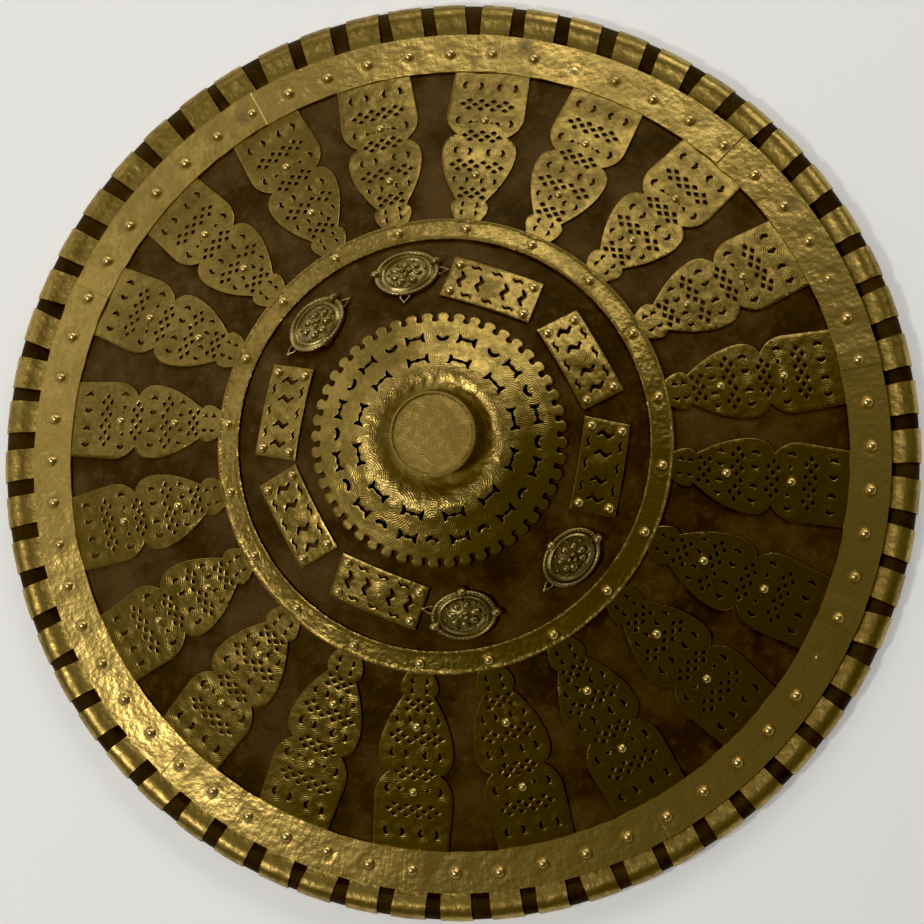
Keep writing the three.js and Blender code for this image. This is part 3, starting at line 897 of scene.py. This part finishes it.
for i, bearing in enumerate(TABLET_BEARINGS):
    wander = random.Random(70 + i)
    drift = Vector((wander.uniform(-90, 90), wander.uniform(-90, 90), 0))
    bm = bmesh.new()
    bm.from_mesh(flat_tablet)
    dirt_and_shade = bm.verts.layers.float["dirt_and_shade"]
    for vert in bm.verts:
        spot = vert.co + drift
        dent = noise.noise(spot * 0.16) * 0.22 + noise.noise(spot * 0.4) * 0.1
        # Painted shade in a dark ring round each rivet.
        rivet_shade = 0.5 * bump_ring(nearest(tablet_rivets, vert.co), 2.6, 0.7)
        vert[dirt_and_shade] = max(vert[dirt_and_shade], rivet_shade)
        vert.co.z += GAP + 0.7 * bump_ring(vert.co.to_2d().length, 0, 3.8) + dent
    lay_on_cone(bm, bearing, TABLET_RADIUS)
    finished(f"tablet_sheet_{i + 1}", bm, tablet_brass, "brass", f"tablet_{i + 1}")
    for spot in tablet_rivets:
        place = wrapped_seat(bearing, TABLET_RADIUS, spot.x, spot.y, GAP + SHEET)
        rivets.append((place, TABLET_HEAD))
print("tablets", len(flat_tablet.polygons), "faces each")

# %% [markdown]
# ## Rivet heads
#
# Every rivet has a round head. One dome is half a small sphere, and copies are stamped where the rivets are.
# Three heads of the band are lost, and there only the flat end of the shank is left. Inside the hollow each
# shank is peened over to a low button.

# %% Rivet heads
BAND_HEAD = 2.75
sunk = Matrix.Translation((0, 0, -0.2))
bm = bmesh.new()
bmesh.ops.create_uvsphere(bm, u_segments=12, v_segments=8, radius=1)
half = bm.verts[:] + bm.edges[:] + bm.faces[:]
bmesh.ops.bisect_plane(bm, geom=half, plane_co=(0, 0, 0), plane_no=(0, 0, 1), clear_inner=True)
dome = as_mesh("dome", bm)


def head(radius, height):
    """Stretch that turns the small dome into a head."""
    return Matrix.Diagonal((radius, radius, height, 1))


wander = random.Random(3)
band_rivets = []
for i in range(360 // RIVET_STEP):
    size = BAND_HEAD + wander.uniform(-0.2, 0.15)
    bearing = RIVET_BEARING + RIVET_STEP * i
    radius = RIVET_RADIUS + off_centre(bearing) + wander.uniform(-0.4, 0.4)
    band_rivets.append((seat(bearing, radius, GAP + BAND_SHEET + BAND_TIP / 2), size))
bm = bmesh.new()
for i, (place, size) in enumerate(band_rivets):
    stamp(bm, dome, place @ sunk @ (head(1.9, 0.5) if i in LOST_HEADS else head(size, size)))
finished("band_rivets", bm, rivet_brass, "brass", *strips, crease=70)
bm = bmesh.new()
for place, size in rivets:
    stamp(bm, dome, place @ sunk @ head(size, size))
riveted = [f"plaque_{i + 1}" for i in range(PLAQUES)]
riveted += [f"tablet_{i + 1}" for i in range(len(TABLET_BEARINGS))]
finished("mount_rivets", bm, rivet_brass, "brass", *riveted, "inner_ring", crease=70)
bm = bmesh.new()
for place, size in band_rivets + rivets:
    spot = place.translation
    bearing = math.degrees(math.atan2(spot.x, spot.y))
    inside = seat(bearing, spot.to_2d().length, -WALL * math.cos(PITCH) + 0.25)
    stamp(bm, dome, inside @ Matrix.Rotation(math.pi, 4, "X") @ head(1.7, 0.8))
finished("peened_ends", bm, rivet_brass, "brass", crease=70)
print(len(band_rivets) + len(rivets), "rivets")

# %% [markdown]
# ## Roundels
#
# Four cast roundels hold the grip's ends. A section is spun for the moulded rim and the sunk field, then a
# cabled ring and a plain rosette are stamped on it, with ball rivets and pointed loops at the edge. Each is
# drawn out to an oval that lies lengthways round the shield.

# %% Roundels
ROUNDEL_RADIUS = 76
OVAL = Matrix.Diagonal((1.09, 0.85, 1, 1))
CABLE = 44
LOBES = 7
ROUNDELS = (
    (131.9, (303, 58), (218,)),
    (172.4, (355, 85, 246), (284,)),
    (313.8, (29, 143), (55, 226)),
    (348.5, (270, 66), (88, 178)),
)
CAST_SECTION = [(0, 0), (13.3, 0), (13.5, 1.0), (13.2, 2.0), (12.7, 2.4), (12.1, 2.4), (11.6, 1.9)]
CAST_SECTION += [(11.2, 1.3), (10.8, 1.5), (10.2, 2.4), (9.7, 2.5), (9.2, 1.9), (8.6, 1.1), (7.6, 0.9)]
CAST_SECTION += [(5.4, 1.4), (3, 2.2), (0, 2.5)]
angles = [math.radians(45 * n) for n in range(9)]
bm = spun([(1.9 + 0.55 * math.cos(angle), 0.8 + 0.55 * math.sin(angle)) for angle in angles], 16)
for vert in bm.verts:
    vert.co.x *= 1 - 0.5 * smooth(vert.co.y, 0, 2.4)
    vert.co.y *= 1 + 0.6 * smooth(vert.co.y, 0, 2.4)
loop = as_mesh("loop", bm)
disc = as_mesh("disc", spun(CAST_SECTION, 60))


def around(bearing, radius, height):
    """Place at a bearing on the roundel, with Y outwards."""
    return Matrix.Rotation(-math.radians(bearing), 4, "Z") @ Matrix.Translation((0, radius, height))


for i, (bearing, balls, loops) in enumerate(ROUNDELS):
    wander = random.Random(90 + i)
    bm = bmesh.new()
    bm.from_mesh(disc)
    dirt_and_shade = bm.verts.layers.float.new("dirt_and_shade")
    for vert in bm.verts:
        # Darker in the low field inside the rim.
        vert[dirt_and_shade] = 0.45 * smooth(vert.co.z, 1.8, 1.0) * smooth(vert.co.to_2d().length, 13.0, 12.4)
    for k in range(CABLE):
        stamp(bm, dome, around(360 / CABLE * k, 12.4, 2.1) @ Matrix.Diagonal((0.55, 0.75, 0.45, 1)))
    for k in range(LOBES):
        lobe = (wander.uniform(1.7, 2.2), wander.uniform(2.1, 2.8), wander.uniform(1.9, 2.6), 1)
        spoke = 360 / LOBES * k + 14 * i + wander.uniform(-6, 6)
        stamp(bm, dome, around(spoke, wander.uniform(4.5, 5.3), 0.9) @ Matrix.Diagonal(lobe))
        stamp(bm, dome, around(spoke + 25, 7.7, 0.8) @ Matrix.Diagonal((1.1, 0.8, 1.2, 1)))
    for k in range(3):
        spot = around(120 * k + 20 * i, wander.uniform(1.2, 1.9), 1.5)
        stamp(bm, dome, spot @ head(1.5, wander.uniform(2.2, 3.0)))
    for angle in balls:
        stamp(bm, dome, around(angle, 12.9, 0.8) @ head(2.5, 3.7))
    for angle in loops:
        stamp(bm, loop, around(angle, 14.0, 0))
    place = seat(bearing, ROUNDEL_RADIUS, GAP) @ OVAL @ Matrix.Rotation(math.radians(bearing), 4, "Z")
    bmesh.ops.transform(bm, matrix=place, verts=bm.verts)
    finished(f"cast_roundel_{i + 1}", bm, cast_brass, "cast_brass", f"roundel_{i + 1}", crease=60)
print(len(ROUNDELS), "roundels")

# %% [markdown]
# ## Boss
#
# The boss is one plate: a flange sawn into round-headed teeth, two rows of openwork and a polished crest
# dished towards the knob. It is cut flat as an unrolled strip, bearing along X and radius along Y, because
# the teeth and holes then repeat along a straight line.

# %% Boss openwork
UNROLL = 45.0
SLOT_BEARING = 17.2
TEETH = 48
TOOTH = 360 / TEETH
SLOTS = 12
BOSS_MIDDLE = 16
BOSS_SHEET = 1.2


def unrolled(bearing, points):
    """Points given as [across, radius] at a bearing, on the unrolled strip."""
    return [((math.radians(bearing) + across / radius) * UNROLL, radius) for across, radius in points]


def barred_slot(radius, half, bar):
    """Slot with a wedge at each end and a thin link."""
    quarter = [(half + 0.5, bar), (half - 0.7, 0.8 * bar), (half - 1.5, 0.55), (1.3, 0.4), (0.5, 0.75)]
    upper = quarter + [(-x, y) for x, y in reversed(quarter)]
    outline = upper + [(-0.2 - half, 0)] + [(-x, -y) for x, y in upper] + [(0.2 + half, 0)]
    return [(x, radius + y) for x, y in outline]


def horned(radius):
    """Crescent hole with its horns outwards."""
    return arc(0, radius + 1.3, 3.2, 3.2, 195, 345, 9) + arc(0, radius + 1.9, 2.3, 2.0, 335, 205, 7)


NOTCH = [(-1.05, 54.6), (-1.25, 53.7), (-1.5, 52.9), (-1.1, 52.1), (0, 51.8)]
NOTCH += [(-across, radius) for across, radius in reversed(NOTCH[:-1])]
TOOTH_TOP = [(-2.0, 55.5), (-0.85, 56.1), (0.85, 56.1), (2.0, 55.5)]
start = SLOT_BEARING - 2.5 * TOOTH
boss_outline = unrolled(start, NOTCH[4:])
for i in range(TEETH):
    boss_outline += unrolled(start + (i + 0.5) * TOOTH, TOOTH_TOP)
    boss_outline += unrolled(start + (i + 1) * TOOTH, NOTCH if i < TEETH - 1 else NOTCH[:5])
boss_outline += unrolled(start + 360, [(0, BOSS_MIDDLE)]) + unrolled(start, [(0, BOSS_MIDDLE)])
boss_holes = []
ring_centres = []
wander = random.Random(11)
for i in range(SLOTS):
    bearing = SLOT_BEARING + 360 / SLOTS * i + wander.uniform(-0.5, 0.5)
    boss_holes.append(unrolled(bearing, barred_slot(44.6, 3.9, 2.3)))
    boss_holes.append(unrolled(bearing + wander.uniform(-0.6, 0.6), barred_slot(34.6, 4.5, 2.3)))
    boss_holes.append(unrolled(bearing - 14.1, horned(44.4)))
    ring_centres += [at(bearing - 14.1, 46.2), at(bearing - 15, 36)]
print(len(boss_holes), "holes in the boss")

# %% [markdown]
# The strip is wrapped round to a flat ring, its seam is merged, and the sheet is raised to the boss's
# section, a smooth curve through a few heights. The crest is a rounded, hammered ring close to the knob.
# The dish between them is beaten deepest on one side, where the knob throws its shadow.

# %% Boss wrapped and raised
CREST = ((16, 79.5), (20, 79.5), (22.5, 79.7), (24, 80.05), (25.5, 80.5), (27, 80.87), (28.5, 81.03))
CREST += ((30, 80.93), (32, 80.45), (34, 79.75), (36, 78.95), (40, 77.25), (45, 75.1), (50, 72.95))
CREST += ((56.2, 70.3), (60, 68.7))
DISH_BEARING = 75
DISH_DEPTH = 0.85


def boss_top(radius):
    """Height of the boss's face at a radius, smooth between the points of its section."""
    k = max(1, min(len(CREST) - 3, sum(point[0] <= radius for point in CREST) - 1))
    (r0, z0), (r1, z1), (r2, z2), (r3, z3) = CREST[k - 1:k + 3]
    t = (radius - r1) / (r2 - r1)
    rise = (z2 - z0) / (r2 - r0) * (r2 - r1)
    fall = (z3 - z1) / (r3 - r1) * (r2 - r1)
    ease = t * t * (3 - 2 * t)
    return z1 + (z2 - z1) * ease + t * (1 - t) * ((1 - t) * rise - t * fall)


bm = sheet(boss_outline, boss_holes, (math.radians(2.5) * UNROLL, 1.25))
for vert in bm.verts:
    vert.co = at(math.degrees(vert.co.x / UNROLL), vert.co.y)
bmesh.ops.remove_doubles(bm, verts=bm.verts, dist=0.01)
thickened(bm, BOSS_SHEET, LIP_DROP)
carry(bm, "rings", lambda spot: nearest(ring_centres, spot))
carry(bm, "cut", lambda spot: smooth(spot.to_2d().length, 24, 28) * smooth(spot.to_2d().length, 51, 48))
beaten = bm.verts.layers.float.new("beaten")
edge = bm.verts.layers.float["edge"]
for vert in bm.verts:
    radius = vert.co.to_2d().length
    crest = smooth(radius, 21, 26) * smooth(radius, 38, 33)
    dent = noise.noise(vert.co * 0.1) * 0.2 + noise.noise(vert.co * 0.32) * (0.08 + 0.2 * crest)
    away = 0.5 - 0.5 * vert.co.to_2d().normalized().dot(at(DISH_BEARING, 1).to_2d())
    shallow = DISH_DEPTH * away * smooth(radius, 28.5, 22)
    # The crest is marked as rubbed, and so is painted brighter for a stronger highlight.
    vert[edge] = max(vert[edge], 1.6 * crest)
    vert[beaten] = crest
    vert.co.z += boss_top(radius) - BOSS_SHEET + dent + shallow
boss = finished("boss_plate", bm, boss_brass, "brass", "boss", crease=35)
print("boss", len(boss.data.polygons), "faces")

# %% [markdown]
# ## Knob
#
# A turned knob stands in the dish: waisted neck, flat disc and a beaded edge. The section is spun, and the
# beads are small domes stamped round the edge. It is written out first, because a stamp's points have to come
# last in the mesh. Spirals are engraved in its top.

# %% Knob
BEADS = 84
section = [(0, 76), (16.2, 76), (16.3, 80.8), (15.2, 81.7), (13.6, 82.9), (12.8, 84.6), (13.2, 86.8)]
section += [(14.8, 88.4), (17.2, 89.2), (18.4, 89.7), (18.7, 90.5), (18.6, 91.4), (18.2, 91.8), (17.6, 91.8)]
section += [(17.2, 91.5), (16.6, 91.4), (12, 91.5), (6, 91.6), (0, 91.6)]
turned = as_mesh("turned", spun(section, 96))
bm = bmesh.new()
bm.from_mesh(turned)
dirt_and_shade = bm.verts.layers.float.new("dirt_and_shade")
for vert in bm.verts:
    radius = vert.co.to_2d().length
    # The neck is painted darker towards its foot, as shade under the disc; a dark ring runs round the disc's
    # rim, under it and inside the beads.
    vert[dirt_and_shade] = 0.7 * bump_ring(radius, 17.1, 0.5) + 0.3 * smooth(vert.co.z, 83, 79)
for k in range(BEADS):
    stamp(bm, dome, Matrix.Translation(at(360 / BEADS * k, 17.95, 91.6)) @ head(0.6, 0.65))
knob = finished("turned_knob", bm, knob_brass, "brass", "knob", crease=50)
print("knob", len(knob.data.polygons), "faces")

# %% [markdown]
# ## Grip
#
# Two leather straps bow across the hollow for the hand. They are hidden in the photograph, so they are kept
# plain: a strip bent along its line, given its thickness, with softened edges, a row of stitches along each
# side and the roundels' shanks peened over its ends.

# %% Grip
GRIP_LINE = ((-80, 50), (-70, 54.2), (-60, 57.6), (-53, 54.8), (-46, 49.3), (-38, 42.8), (-28, 38), (-15, 35))
GRIP_LINE += ((0, 33.8), *((-x, z) for x, z in reversed(GRIP_LINE)))
GRIP_BEARING = 150.2
LEATHER = 3.6
STRAP_HALF = 10
STRAP_COLUMNS = 5
STRAP_OFFSET = 24.5
STRAP_LEAN = 7.5


def strap_under(x, y):
    """Seat on the strap's under side: X along the strap, Z away from it."""
    k = max(1, sum(point[0] < x for point in GRIP_LINE))
    (x0, z0), (x1, z1) = GRIP_LINE[k - 1:k + 1]
    z = z0 + (z1 - z0) * (x - x0) / (x1 - x0) - LEATHER - GRIP_LINE[0][1]
    lie = Matrix.Rotation(-math.atan2(z1 - z0, x1 - x0), 4, "Y") @ Matrix.Rotation(math.pi, 4, "X")
    return Matrix.Translation((x, y, z)) @ lie


for i, side in enumerate((-1, 1)):
    bm = bmesh.new()
    chain = [bm.verts.new((x, -STRAP_HALF, z - GRIP_LINE[0][1])) for x, z in GRIP_LINE]
    edges = [bm.edges.new(pair) for pair in zip(chain, chain[1:])]
    for k in range(STRAP_COLUMNS):
        made = bmesh.ops.extrude_edge_only(bm, edges=edges)["geom"]
        edges = [item for item in made if isinstance(item, bmesh.types.BMEdge)]
        moved = [item for item in made if isinstance(item, bmesh.types.BMVert)]
        bmesh.ops.translate(bm, vec=(0, 2 * STRAP_HALF / STRAP_COLUMNS, 0), verts=moved)
    face_up(bm)
    bmesh.ops.solidify(bm, geom=bm.faces[:], thickness=LEATHER)
    rims = [edge for edge in bm.edges if edge.calc_face_angle(0) > 1]
    bmesh.ops.bevel(bm, geom=rims, offset=0.8, segments=2, profile=0.5, affect="EDGES", material=-1)
    strap = as_mesh("strap", bm)
    bm = bmesh.new()
    bm.from_mesh(strap)
    for x in range(-66, 67, 6):
        for y in (-7.6, 7.6):
            stamp(bm, dome, strap_under(x, y) @ Matrix.Diagonal((1.9, 0.5, 0.4, 1)))
    across = Matrix.Rotation(-side * math.radians(STRAP_LEAN), 4, "X")
    shift = Matrix.Translation((0, -side * STRAP_OFFSET, GRIP_LINE[0][1]))
    place = Matrix.Rotation(math.radians(90 - GRIP_BEARING), 4, "Z") @ shift @ across
    bmesh.ops.transform(bm, matrix=place, verts=bm.verts)
    finished(f"strap_leather_{i + 1}", bm, grip_leather, "grip_leather", f"grip_strap_{i + 1}", crease=50)
    bm = bmesh.new()
    for x in (-72, 72):
        stamp(bm, dome, place @ strap_under(x, 0) @ head(4.2, 1.3))
    finished(f"strap_washers_{i + 1}", bm, rivet_brass, "brass", f"grip_strap_{i + 1}", crease=70)
    low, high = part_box(f"grip_strap_{i + 1}")
    print("strap", i + 1, [round(c, 3) for c in low], [round(c, 3) for c in high])
